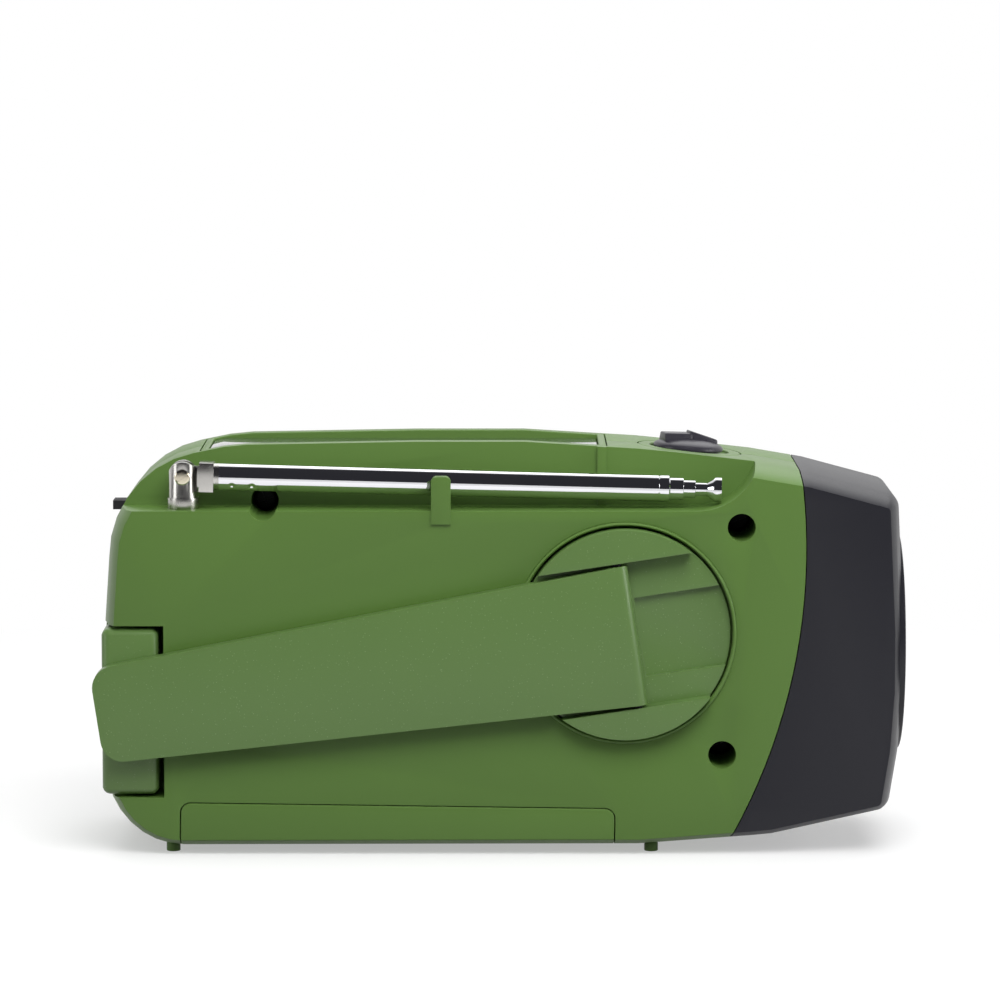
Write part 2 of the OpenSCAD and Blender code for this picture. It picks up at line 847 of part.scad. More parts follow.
module speaker_grille() color(BLACK) {
    difference() {
        bar_y(speaker_x, speaker_z, grille_r, front_y - wall, wall);
        for (ring = [0 : 4], k = [0 : max(0, 6 * ring - 1)]) {
            a = 360 * k / max(1, 6 * ring);
            bar_y(speaker_x + 4 * ring * cos(a), speaker_z + 4 * ring * sin(a), 1.1, front_y - wall - 1,
                wall + 2);
        }
    }
}

module display_window() color([0.6, 0.65, 0.7, 0.4]) window_block();

module display_panel() color([0.5, 0.56, 0.45]) {
    block([window_x - window_w / 2 + 1, front_y - wall - 0.1 - lcd_t, window_z - window_h / 2 + 1],
        [window_x + window_w / 2 - 1, front_y - wall - 0.1, window_z + window_h / 2 - 1]);
    for (s = [-1, 1])
        block([window_x + s * 20 - 2, board_y + board_t, window_z - 2],
            [window_x + s * 20 + 2, front_y - wall - 0.1 - lcd_t, window_z + 2]);
}

module round_knob(x, z, r) {
    bar_y(x, z, stem_r, board_y + board_t + 2.5, front_y - board_y - board_t - 1.5);
    bar_y(x, z, r, front_y + 0.3, knob_proud - 1.3);
    translate([x, front_y + knob_proud - 1, z]) rotate([-90, 0, 0]) cylinder(r1 = r, r2 = r - 1, h = 1);
}

// A square unit on the main board with a bore for a knob's stem
module knob_unit(x, z, size) {
    difference() {
        block([x - size, board_y + board_t, z - size], [x + size, front_y - wall - 0.3, z + size]);
        bar_y(x, z, stem_r + run_gap, board_y + board_t + 2.4, body_d);
    }
}

module tuning_knob() color(BLACK) round_knob(tuner_x, tuner_z, tuner_r);

module tuning_unit() color([0.85, 0.85, 0.82]) knob_unit(tuner_x, tuner_z, 6.5);

module volume_knob() color(BLACK) round_knob(volume_x, volume_z, volume_r);

module volume_unit() color([0.3, 0.3, 0.3]) knob_unit(volume_x, volume_z, 5);

module button_cap(x) color(BLACK) {
    button_form(x, 0);
}

module button_power() button_cap(button_xs[0]);

module button_band() button_cap(button_xs[1]);

module button_lamp() button_cap(button_xs[2]);

module button_alarm() button_cap(button_xs[3]);

module button_switches() color([0.7, 0.7, 0.7]) {
    for (x = button_xs)
        block([x - 3, board_y + board_t, button_z - 3],
            [x + 3, front_y - wall - 1 - button_travel - 0.1, button_z + 3]);
}

// ---- Side ports, fasteners, feet ----

module port_holes() {
    block([-BIG / 2, charge_y - 4.6, port_mid_z - 1.8], [-70, charge_y + 4.6, port_mid_z + 1.8]);
    bar_x(-BIG / 2, phone_y, port_mid_z, 2.6, BIG / 2 - 70);
}

port_mid_z = (port_z0 + port_z1) / 2;
charge_y = port_y0 + 5.6;
phone_y = port_y1 - 4;
socket_x = -80.3 + port_t + wall;

module port_cover() color(BLACK) {
    difference() {
        intersection() {
            body_form();
            port_block();
        }
        body_form(port_t);
    }
    difference() {
        block([tab_x, (port_y0 + port_y1 - tab_w) / 2, port_z1 - 0.4 - tab_h],
            [tab_x + 6, (port_y0 + port_y1 + tab_w) / 2, port_z1 - 0.4]);
        body_form(port_t / 2);
    }
    bar_y(port_hinge_x, port_hinge_z, port_t / 2, port_y0, port_y1 - port_y0);
}

module charge_socket() color(METAL) {
    difference() {
        block([socket_x, charge_y - 4.4, port_mid_z - 1.6], [socket_x + 7, charge_y + 4.4, port_mid_z + 1.6]);
        block([socket_x - 1, charge_y - 3.9, port_mid_z - 1.1],
            [socket_x + 6, charge_y + 3.9, port_mid_z + 1.1]);
    }
}

module phone_socket() color([0.2, 0.2, 0.2]) {
    difference() {
        bar_x(socket_x, phone_y, port_mid_z, 2.5, 12);
        bar_x(socket_x - 1, phone_y, port_mid_z, 1.8, 11);
    }
}

module case_screws() color(METAL) {
    for (p = screws) {
        bar_y(p[0], p[1], screw_head_r, screw_seat_y - screw_head_t, screw_head_t);
        bar_y(p[0], p[1], screw_r, screw_seat_y, 18);
    }
}

module feet() color(GREEN) {
    difference() {
        for (x = feet_x, s = [-1, 1]) translate([x, s * feet_y, 0]) cylinder(r = foot_r, h = 4);
        body_form();
    }
}

back_cover();
front_cover();
torch_head();
lens_bezel();
torch_lens();
torch_reflector();
torch_board();
torch_led();
solar_frame();
solar_panel();
knob_plate();
mode_knob();
mode_switch();
crank_disc();
crank_shaft();
crank_bush();
crank_arm();
arm_pin();
crank_grip();
grip_pin();
drive_gear();
idler_gear();
idler_axle();
dynamo_rotor();
dynamo_stator();
gearbox_plate();
battery_door();
battery_cell();
battery_contacts();
antenna_post();
antenna_pivot();
mast_tube_1();
mast_tube_2();
mast_tube_3();
mast_tube_4();
main_board();
speaker_frame();
speaker_cone();
speaker_magnet();
speaker_grille();
display_window();
display_panel();
tuning_knob();
tuning_unit();
volume_knob();
volume_unit();
button_power();
button_band();
button_lamp();
button_alarm();
button_switches();
port_cover();
charge_socket();
phone_socket();
case_screws();
feet();
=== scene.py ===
"""Looks of the hand-crank emergency radio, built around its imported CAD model."""

import json
import logging
import math
from dataclasses import dataclass, field
from enum import Enum
from typing import Callable, Iterable, Sequence

import bmesh
import bpy
from mathutils import Matrix, Vector

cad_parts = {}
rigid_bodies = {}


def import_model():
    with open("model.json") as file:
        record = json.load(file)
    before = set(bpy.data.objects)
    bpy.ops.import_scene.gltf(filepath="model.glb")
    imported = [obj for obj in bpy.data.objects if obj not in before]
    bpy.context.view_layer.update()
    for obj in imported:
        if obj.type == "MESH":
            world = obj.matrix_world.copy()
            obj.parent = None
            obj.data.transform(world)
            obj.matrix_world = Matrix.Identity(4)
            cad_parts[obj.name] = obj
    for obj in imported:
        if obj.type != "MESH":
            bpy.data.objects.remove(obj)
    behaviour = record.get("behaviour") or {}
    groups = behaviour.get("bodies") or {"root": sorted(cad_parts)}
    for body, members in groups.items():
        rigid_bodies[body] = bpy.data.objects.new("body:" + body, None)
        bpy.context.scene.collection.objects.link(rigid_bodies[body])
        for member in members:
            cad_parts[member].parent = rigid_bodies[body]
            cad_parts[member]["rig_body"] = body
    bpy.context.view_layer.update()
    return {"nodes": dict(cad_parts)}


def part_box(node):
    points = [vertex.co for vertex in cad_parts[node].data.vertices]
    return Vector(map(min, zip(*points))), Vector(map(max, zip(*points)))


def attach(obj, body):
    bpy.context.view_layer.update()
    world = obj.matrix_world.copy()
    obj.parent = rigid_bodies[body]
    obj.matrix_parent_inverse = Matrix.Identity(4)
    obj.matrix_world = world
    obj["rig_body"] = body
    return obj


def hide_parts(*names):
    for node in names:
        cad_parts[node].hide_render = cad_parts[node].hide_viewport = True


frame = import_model()

MM = 0.001
BACKWARDS = Vector((0, -1, 0))
log = logging.getLogger("radio")


def srgb(red: float, green: float, blue: float) -> tuple[float, float, float, float]:
    """Turn 0-255 display values into a linear colour with full alpha.

    Args:
        red: Red, 0 to 255.
        green: Green, 0 to 255.
        blue: Blue, 0 to 255.

    Returns:
        The linear red, green, blue and alpha.
    """

    def linear(value: float) -> float:
        """Undo the display curve for one channel."""
        value /= 255
        return value / 12.92 if value <= 0.04045 else ((value + 0.055) / 1.055) ** 2.4

    return (linear(red), linear(green), linear(blue), 1.0)


# ---------------------------------------------------------------- node helpers


class Graph:
    """A thin writer for a shader node tree."""

    def __init__(self, tree: bpy.types.NodeTree) -> None:
        """Keep the tree that nodes are added to."""
        self.tree = tree

    def node(self, kind: str, **inputs: object) -> bpy.types.Node:
        """Add a node and set its sockets and properties.

        Args:
            kind: The node's type name without the ShaderNode prefix.
            inputs: Property names, or socket names with spaces as underscores.

        Returns:
            The new node.
        """
        made = self.tree.nodes.new("ShaderNode" + kind)
        for key, value in inputs.items():
            socket = made.inputs.get(key.replace("_", " "))
            if hasattr(made, key):
                setattr(made, key, value)
            elif isinstance(value, bpy.types.NodeSocket):
                self.tree.links.new(value, socket)
            else:
                socket.default_value = value
        return made

    def link(self, source: bpy.types.NodeSocket, target: bpy.types.NodeSocket) -> None:
        """Join two sockets."""
        self.tree.links.new(source, target)

    def math(self, operation: str, first: object, second: object = 0.0) -> bpy.types.NodeSocket:
        """Add a Math node.

        Args:
            operation: What it works out.
            first: First value or socket.
            second: Second value or socket.

        Returns:
            The result's socket.
        """
        made = self.tree.nodes.new("ShaderNodeMath")
        made.operation = operation
        for index, value in enumerate((first, second)):
            if isinstance(value, bpy.types.NodeSocket):
                self.tree.links.new(value, made.inputs[index])
            else:
                made.inputs[index].default_value = value
        return made.outputs[0]

    def mix(self, factor: object, first: object, second: object) -> bpy.types.NodeSocket:
        """Blend two colours.

        Args:
            factor: Share of the second colour, as a number or a socket.
            first: First colour or socket.
            second: Second colour or socket.

        Returns:
            The blended colour's socket.
        """
        made = self.tree.nodes.new("ShaderNodeMix")
        made.data_type = "RGBA"
        for index, value in ((0, factor), (6, first), (7, second)):
            if isinstance(value, bpy.types.NodeSocket):
                self.tree.links.new(value, made.inputs[index])
            else:
                made.inputs[index].default_value = value
        return made.outputs[2]

    def ramp(self, value: bpy.types.NodeSocket, low: float, high: float) -> bpy.types.NodeSocket:
        """Stretch a range of a value to 0..1, clamped.

        Args:
            value: The socket to stretch.
            low: The value that becomes 0.
            high: The value that becomes 1.

        Returns:
            The stretched value's socket.
        """
        made = self.tree.nodes.new("ShaderNodeMapRange")
        made.inputs["From Min"].default_value = low
        made.inputs["From Max"].default_value = high
        self.tree.links.new(value, made.inputs["Value"])
        return made.outputs["Result"]


def new_group(name: str, inputs: Sequence[tuple[str, str, object]],
              outputs: Sequence[tuple[str, str]]) -> tuple[bpy.types.NodeTree, Graph]:
    """Start a shader node group.

    Args:
        name: The group's name.
        inputs: Socket name, socket type and default value of each input.
        outputs: Socket name and socket type of each output.

    Returns:
        The group and a writer for it.
    """
    group = bpy.data.node_groups.new(name, "ShaderNodeTree")
    for label, kind, value in inputs:
        socket = group.interface.new_socket(label, in_out="INPUT", socket_type="NodeSocket" + kind)
        if value is not None:
            socket.default_value = value
    for label, kind in outputs:
        group.interface.new_socket(label, in_out="OUTPUT", socket_type="NodeSocket" + kind)
    return group, Graph(group)


def mould_grain_group() -> bpy.types.NodeTree:
    """Build the group for moulded plastic: mottled colour, pale specks and a fine height."""
    group, g = new_group(
        "mould_grain",
        [("Vector", "Vector", None), ("Colour", "Color", (0.5, 0.5, 0.5, 1)),
         ("Grain Scale", "Float", 2500.0), ("Mottle", "Float", 0.06), ("Specks", "Float", 0.0),
         ("Roughness", "Float", 0.4)],
        [("Colour", "Color"), ("Height", "Float"), ("Roughness", "Float")])
    source = group.nodes.new("NodeGroupInput")
    result = group.nodes.new("NodeGroupOutput")
    broad = g.node("TexNoise", Vector=source.outputs["Vector"], Scale=38.0, Detail=3.0)
    fine = g.node("TexNoise", Vector=source.outputs["Vector"], Scale=source.outputs["Grain Scale"],
                  Detail=2.0)
    spots = g.node("TexVoronoi", Vector=source.outputs["Vector"], Scale=1500.0, Randomness=1.0)
    speck = g.ramp(spots.outputs["Distance"], 0.2, 0.05)
    gate = g.node("TexNoise", Vector=source.outputs["Vector"], Scale=640.0, Detail=1.0)
    speck = g.math("MULTIPLY", speck, g.ramp(gate.outputs["Fac"], 0.4, 0.56))
    speck = g.math("MULTIPLY", speck, source.outputs["Specks"])
    shade = g.math("MULTIPLY", g.math("SUBTRACT", broad.outputs["Fac"], 0.5), source.outputs["Mottle"])
    shade = g.math("ADD", shade, 1.0)
    tinted = group.nodes.new("ShaderNodeVectorMath")
    tinted.operation = "SCALE"
    g.link(source.outputs["Colour"], tinted.inputs[0])
    g.link(shade, tinted.inputs["Scale"])
    colour = g.mix(speck, tinted.outputs[0], (0.3, 0.4, 0.22, 1))
    g.link(colour, result.inputs["Colour"])
    g.link(g.math("ADD", fine.outputs["Fac"], g.math("MULTIPLY", speck, 0.6)), result.inputs["Height"])
    rough = g.math("ADD", source.outputs["Roughness"],
                   g.math("MULTIPLY", g.math("SUBTRACT", fine.outputs["Fac"], 0.5), 0.08))
    g.link(rough, result.inputs["Roughness"])
    return group


def metal_streak_group() -> bpy.types.NodeTree:
    """Build the group for drawn and turned metal: fine streaks along one axis and faint haze."""
    group, g = new_group(
        "metal_streaks",
        [("Vector", "Vector", None), ("Stretch", "Vector", (40.0, 900.0, 900.0)),
         ("Haze", "Float", 0.05), ("Roughness", "Float", 0.12)],
        [("Height", "Float"), ("Roughness", "Float")])
    source = group.nodes.new("NodeGroupInput")
    result = group.nodes.new("NodeGroupOutput")
    scaled = group.nodes.new("ShaderNodeVectorMath")
    scaled.operation = "MULTIPLY"
    g.link(source.outputs["Vector"], scaled.inputs[0])
    g.link(source.outputs["Stretch"], scaled.inputs[1])
    lines = g.node("TexNoise", Vector=scaled.outputs[0], Scale=1.0, Detail=3.0)
    cloud = g.node("TexNoise", Vector=source.outputs["Vector"], Scale=160.0, Detail=4.0)
    haze = g.math("MULTIPLY", g.ramp(cloud.outputs["Fac"], 0.45, 0.75), source.outputs["Haze"])
    g.link(lines.outputs["Fac"], result.inputs["Height"])
    streak = g.math("MULTIPLY", g.math("SUBTRACT", lines.outputs["Fac"], 0.5), 0.1)
    g.link(g.math("ADD", g.math("ADD", source.outputs["Roughness"], haze), streak),
           result.inputs["Roughness"])
    return group


MOULD_GRAIN = mould_grain_group()
METAL_STREAKS = metal_streak_group()


def blank_material(name: str) -> tuple[bpy.types.Material, Graph, bpy.types.Node, bpy.types.NodeSocket]:
    """Start a material with a Principled shader and object coordinates.

    Args:
        name: The material's name.

    Returns:
        The material, a writer for it, the shader and the coordinate socket.
    """
    material = bpy.data.materials.new(name)
    material.use_nodes = True
    material.node_tree.nodes.clear()
    g = Graph(material.node_tree)
    shader = g.node("BsdfPrincipled")
    output = g.node("OutputMaterial")
    g.link(shader.outputs[0], output.inputs[0])
    place = g.node("TexCoord").outputs["Object"]
    return material, g, shader, place


def add_bump(g: Graph, shader: bpy.types.Node, height: bpy.types.NodeSocket, strength: float,
             depth: float) -> None:
    """Feed a height into a shader's normal.

    Args:
        g: The writer of the shader's material.
        shader: The shader.
        height: The height's socket.
        strength: Share of the bump that shows.
        depth: Depth of the relief, in metres.
    """
    bump = g.node("Bump", Strength=strength, Distance=depth)
    g.link(height, bump.inputs["Height"])
    g.link(bump.outputs[0], shader.inputs["Normal"])


@dataclass(frozen=True)
class Plastic:
    """Moulded plastic with its own grain."""

    name: str
    colour: tuple[float, float, float, float]
    roughness: float = 0.4
    grain_scale: float = 2600.0
    grain_depth: float = 0.00001
    mottle: float = 0.06
    specks: float = 0.0
    coat: float = 0.0
    specular: float = 0.5

    def material(self) -> bpy.types.Material:
        """Build the finish."""
        material, g, shader, place = blank_material(self.name)
        grain = g.tree.nodes.new("ShaderNodeGroup")
        grain.node_tree = MOULD_GRAIN
        g.link(place, grain.inputs["Vector"])
        grain.inputs["Colour"].default_value = self.colour
        grain.inputs["Grain Scale"].default_value = self.grain_scale
        grain.inputs["Mottle"].default_value = self.mottle
        grain.inputs["Specks"].default_value = self.specks
        grain.inputs["Roughness"].default_value = self.roughness
        g.link(grain.outputs["Colour"], shader.inputs["Base Color"])
        g.link(grain.outputs["Roughness"], shader.inputs["Roughness"])
        shader.inputs["Coat Weight"].default_value = self.coat
        shader.inputs["Specular IOR Level"].default_value = self.specular
        add_bump(g, shader, grain.outputs["Height"], 0.5, self.grain_depth)
        return material


@dataclass(frozen=True)
class Metal:
    """Bare or plated metal with fine streaks."""

    name: str
    colour: tuple[float, float, float, float]
    roughness: float = 0.12
    stretch: tuple[float, float, float] = (40.0, 900.0, 900.0)
    haze: float = 0.05
    depth: float = 0.000002

    def material(self) -> bpy.types.Material:
        """Build the finish."""
        material, g, shader, place = blank_material(self.name)
        streaks = g.tree.nodes.new("ShaderNodeGroup")
        streaks.node_tree = METAL_STREAKS
        g.link(place, streaks.inputs["Vector"])
        streaks.inputs["Stretch"].default_value = self.stretch
        streaks.inputs["Haze"].default_value = self.haze
        streaks.inputs["Roughness"].default_value = self.roughness
        shader.inputs["Base Color"].default_value = self.colour
        shader.inputs["Metallic"].default_value = 1.0
        g.link(streaks.outputs["Roughness"], shader.inputs["Roughness"])
        add_bump(g, shader, streaks.outputs["Height"], 0.25, self.depth)
        return material


@dataclass(frozen=True)
class Clear:
    """Clear moulded plastic."""

    name: str
    colour: tuple[float, float, float, float]
    roughness: float = 0.03
    haze: float = 0.0

    def material(self) -> bpy.types.Material:
        """Build the finish."""
        material, g, shader, place = blank_material(self.name)
        shader.inputs["Base Color"].default_value = self.colour
        shader.inputs["Transmission Weight"].default_value = 1.0 - self.haze
        shader.inputs["IOR"].default_value = 1.49
        ripple = g.node("TexNoise", Vector=place, Scale=90.0, Detail=1.0)
        rough = g.math("ADD", g.math("MULTIPLY", ripple.outputs["Fac"], 0.02), self.roughness)
        g.link(rough, shader.inputs["Roughness"])
        add_bump(g, shader, ripple.outputs["Fac"], 0.1, 0.00002)
        return material


@dataclass(frozen=True)
class SolarFilm:
    """Dark solar cells under clear resin, with silver fingers and busbars."""

    name: str
    cells: int = 8

    def material(self) -> bpy.types.Material:
        """Build the finish."""
        material, g, shader, place = blank_material(self.name)
        low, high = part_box("solar_panel")
        axes = g.node("SeparateXYZ", Vector=place)
        along = g.ramp(axes.outputs["X"], low.x, high.x)
        across = g.ramp(axes.outputs["Y"], low.y, high.y)

        def stripes(value: bpy.types.NodeSocket, count: float, width: float) -> bpy.types.NodeSocket:
            """Draw the lines that split 0..1 into bands.

            Args:
                value: Place across the bands, 0 to 1.
                count: Number of bands.
                width: Half of a line's width, as a share of a band.

            Returns:
                A socket that is 1 on the lines.
            """
            phase = g.math("FRACT", g.math("MULTIPLY", value, count), 0.0)
            edge = g.math("ABSOLUTE", g.math("SUBTRACT", phase, 0.5), 0.0)
            return g.math("GREATER_THAN", edge, 0.5 - width)

        gaps = stripes(along, self.cells, 0.03)
        fingers = stripes(along, self.cells * 9, 0.07)
        bus = stripes(g.math("ADD", across, 0.25), 2, 0.02)
        tone = g.node("TexNoise", Vector=place, Scale=260.0, Detail=4.0)
        cell = g.mix(tone.outputs["Fac"], srgb(22, 24, 46), srgb(36, 34, 66))
        cell = g.mix(g.math("MULTIPLY", fingers, 0.35), cell, srgb(120, 122, 140))
        cell = g.mix(g.math("MULTIPLY", bus, 0.6), cell, srgb(150, 152, 165))
        g.link(g.mix(gaps, cell, srgb(14, 14, 20)), shader.inputs["Base Color"])
        shader.inputs["Roughness"].default_value = 0.22
        shader.inputs["Coat Weight"].default_value = 1.0
        shader.inputs["Coat Roughness"].default_value = 0.04
        add_bump(g, shader, tone.outputs["Fac"], 0.15, 0.00002)
        return material


@dataclass(frozen=True)
class DisplayGlass:
    """A switched-off display: grey-green glass with a plain printed tuning scale."""

    name: str

    def material(self) -> bpy.types.Material:
        """Build the finish."""
        material, g, shader, place = blank_material(self.name)
        low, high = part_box("display_panel")
        axes = g.node("SeparateXYZ", Vector=place)
        along = g.ramp(axes.outputs["X"], low.x, high.x)
        height = g.ramp(axes.outputs["Z"], low.z, high.z)
        phase = g.math("FRACT", g.math("MULTIPLY", along, 24.0), 0.0)
        tick = g.math("LESS_THAN", g.math("ABSOLUTE", g.math("SUBTRACT", phase, 0.5), 0.0), 0.05)
        band = g.math("MULTIPLY", g.math("GREATER_THAN", height, 0.62), g.math("LESS_THAN", height, 0.76))
        marks = g.math("MULTIPLY", g.math("MULTIPLY", tick, band), 0.75)
        mottle = g.node("TexNoise", Vector=place, Scale=320.0, Detail=2.0)
        glass = g.mix(mottle.outputs["Fac"], srgb(118, 128, 108), srgb(128, 138, 117))
        g.link(g.mix(marks, glass, srgb(40, 46, 40)), shader.inputs["Base Color"])
        shader.inputs["Roughness"].default_value = 0.2
        return material


class Finish(Enum):
    """Every finish on the radio."""

    BODY_GREEN = Plastic("body_green", srgb(86, 117, 55), 0.42, 2400.0, 0.000012, 0.05, 0.0, 0.0, 0.32)
    ARM_GREEN = Plastic("crank_green", srgb(88, 117, 62), 0.38, 1500.0, 0.00003, 0.07, 0.45)
    HEAD_BLACK = Plastic("head_black", srgb(30, 30, 36), 0.42, 2200.0, 0.00001, 0.08, 0.0, 0.0, 0.32)
    KNOB_BLACK = Plastic("knob_black", srgb(44, 42, 50), 0.38, 2000.0, 0.00001, 0.06)
    RUBBER = Plastic("soft_rubber", srgb(28, 28, 30), 0.7, 1800.0, 0.00003, 0.08)
    IVORY = Plastic("ivory_acetal", srgb(226, 220, 200), 0.4)
    GREY_PLASTIC = Plastic("grey_plastic", srgb(60, 60, 64), 0.45)
    BOARD = Plastic("solder_resist", srgb(22, 84, 46), 0.3, 900.0, 0.00002, 0.2)
    SLEEVE = Plastic("cell_sleeve", srgb(50, 92, 150), 0.25, 1200.0, 0.000005, 0.04, 0.0, 0.5)
    PAPER = Plastic("pressed_paper", srgb(30, 30, 32), 0.85, 1400.0, 0.00005, 0.3)
    LAMP = Plastic("lamp_resin", srgb(236, 232, 190), 0.2, 900.0, 0.000005, 0.05, 0.0, 0.6)
    CHROME = Metal("mast_chrome", srgb(222, 222, 226), 0.06, (30.0, 1200.0, 1200.0), 0.04)
    BLACK_STEEL = Metal("black_steel", srgb(30, 30, 32), 0.45, (400.0, 400.0, 400.0), 0.1)
    SATIN_NICKEL = Metal("satin_nickel", srgb(190, 188, 184), 0.22, (900.0, 900.0, 60.0), 0.1)
    STEEL = Metal("turned_steel", srgb(160, 160, 165), 0.3, (500.0, 500.0, 500.0), 0.1)
    PALE_BRASS = Metal("pale_brass", srgb(212, 204, 184), 0.2, (600.0, 600.0, 600.0), 0.08)
    BRASS = Metal("turned_brass", srgb(190, 166, 116), 0.25, (600.0, 600.0, 600.0), 0.08)
    COPPER = Metal("copper_winding", srgb(170, 96, 52), 0.35, (200.0, 4000.0, 200.0), 0.1, 0.00003)
    MIRROR = Metal("plated_mirror", srgb(228, 228, 232), 0.04, (60.0, 60.0, 60.0), 0.02)
    CLEAR = Clear("clear_lens", (0.86, 0.93, 1.0, 1.0), 0.03, 0.3)
    WINDOW = Clear("window_clear", (0.93, 0.95, 0.96, 1.0), 0.02)
    SOLAR = SolarFilm("solar_cells")
    DISPLAY = DisplayGlass("display_glass")

    def get(self) -> bpy.types.Material:
        """Return the finish's material, built the first time."""
        return bpy.data.materials.get(self.value.name) or self.value.material()


# ---------------------------------------------------------------- mesh helpers


def add_piece(name: str, shape: bmesh.types.BMesh, body: str, finish: Finish, stands_for: Iterable[str] = (),
              smooth_angle: float = 38.0) -> bpy.types.Object:
    """Make a finished piece from a bmesh.

    Args:
        name: The piece's name.
        shape: Its geometry in the radio's frame. It is freed here.
        body: The CAD body that it rides on.
        finish: Its finish.
        stands_for: CAD nodes that it replaces.
        smooth_angle: Edges sharper than this many degrees stay creased.

    Returns:
        The new object.
    """
    mesh = bpy.data.meshes.new(name)
    shape.to_mesh(mesh)
    shape.free()
    mesh.shade_smooth()
    mesh.set_sharp_from_angle(angle=math.radians(smooth_angle))
    mesh.materials.append(finish.get())
    piece = bpy.data.objects.new(name, mesh)
    bpy.context.scene.collection.objects.link(piece)
    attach(piece, body)
    if stands_for:
        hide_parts(*stands_for)
    log.info("%s: %d faces", name, len(mesh.polygons))
    return piece


def cad_copy(node: str, seam: float = 1e-6) -> bmesh.types.BMesh:
    """Copy a CAD node's shape, with its doubled points merged and flat faces joined.

    Args:
        node: The node's name.
        seam: Points closer than this are merged, in metres.

    Returns:
        The copy.
    """
    shape = bmesh.new()
    shape.from_mesh(frame["nodes"][node].data)
    bmesh.ops.remove_doubles(shape, verts=shape.verts, dist=seam)
    bmesh.ops.dissolve_limit(shape, angle_limit=math.radians(0.6), verts=shape.verts, edges=shape.edges,
                             use_dissolve_boundaries=False)
    return shape


def round_edges(shape: bmesh.types.BMesh, width: float, segments: int = 3, angle: float = 40.0,
                keep: Callable[[bmesh.types.BMEdge], bool] = lambda edge: True) -> None:
    """Round the sharp edges of a shape.

    Args:
        shape: The shape to change.
        width: Radius of the rounding, in metres.
        segments: Steps across the rounding.
        angle: Only edges that turn more than this many degrees are rounded.
        keep: Test that an edge has to pass.
    """
    limit = math.radians(angle)
    edges = [e for e in shape.edges if e.is_manifold and e.calc_face_angle(0.0) > limit and keep(e)]
    bmesh.ops.bevel(shape, geom=edges, offset=width, offset_type="OFFSET", segments=segments, profile=0.5,
                    affect="EDGES", clamp_overlap=True, material=-1)


def turned(profile: Sequence[tuple[float, float]], centre: Vector, axis: Vector,
           steps: int = 96) -> bmesh.types.BMesh:
    """Spin a profile into a solid of revolution.

    Args:
        profile: Radius and height pairs from the axis round to the axis, in metres.
        centre: The point at height 0 on the axis.
        axis: The axis's direction.
        steps: Faces round the axis.

    Returns:
        The closed shape.
    """
    shape = bmesh.new()
    points = [shape.verts.new((radius, 0, height)) for radius, height in profile]
    for first, second in zip(points, points[1:]):
        shape.edges.new((first, second))
    bmesh.ops.spin(shape, geom=shape.verts[:] + shape.edges[:], cent=(0, 0, 0), axis=(0, 0, 1),
                   angle=2 * math.pi, steps=steps, use_merge=True)
    bmesh.ops.remove_doubles(shape, verts=shape.verts, dist=1e-7)
    bmesh.ops.recalc_face_normals(shape, faces=shape.faces)
    turn = axis.to_track_quat("Z", "Y").to_matrix().to_4x4()
    bmesh.ops.transform(shape, matrix=Matrix.Translation(centre) @ turn, verts=shape.verts)
    return shape


def merged(shapes: Iterable[bmesh.types.BMesh]) -> bmesh.types.BMesh:
    """Join several shapes into one.

    Args:
        shapes: The shapes. They are freed here.

    Returns:
        The joined shape.
    """
    whole = bmesh.new()
    for shape in shapes:
        part = bpy.data.meshes.new("part")
        shape.to_mesh(part)
        shape.free()
        whole.from_mesh(part)
        bpy.data.meshes.remove(part)
    return whole


def body_name(node: str) -> str:
    """Return the body that a CAD node belongs to."""
    return frame["nodes"][node]["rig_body"]


# ---------------------------------------------------------------- shared ways to finish a node


def soften(finish: Finish, nodes: Iterable[str], radius: float, segments: int = 3, angle: float = 40.0) -> None:
    """Show CAD nodes as copies with moulded or machined edges.

    Args:
        finish: The finish of every copy.
        nodes: The nodes to copy.
        radius: Radius of the rounded edges, in metres.
        segments: Steps across each rounding.
        angle: Only edges that turn more than this many degrees are rounded.
    """
    for node in nodes:
        shape = cad_copy(node)
        round_edges(shape, radius, segments, angle)
        add_piece(f"{node}_skin", shape, body_name(node), finish, [node])


def dress(finish: Finish, *nodes: str) -> None:
    """Give CAD nodes that keep their own shape a finish.

    Args:
        finish: The finish.
        nodes: The nodes' names.
    """
    for node in nodes:
        mesh = frame["nodes"][node].data
        mesh.materials.clear()
        mesh.materials.append(finish.get())
        log.info("%s: %s", node, finish.name)


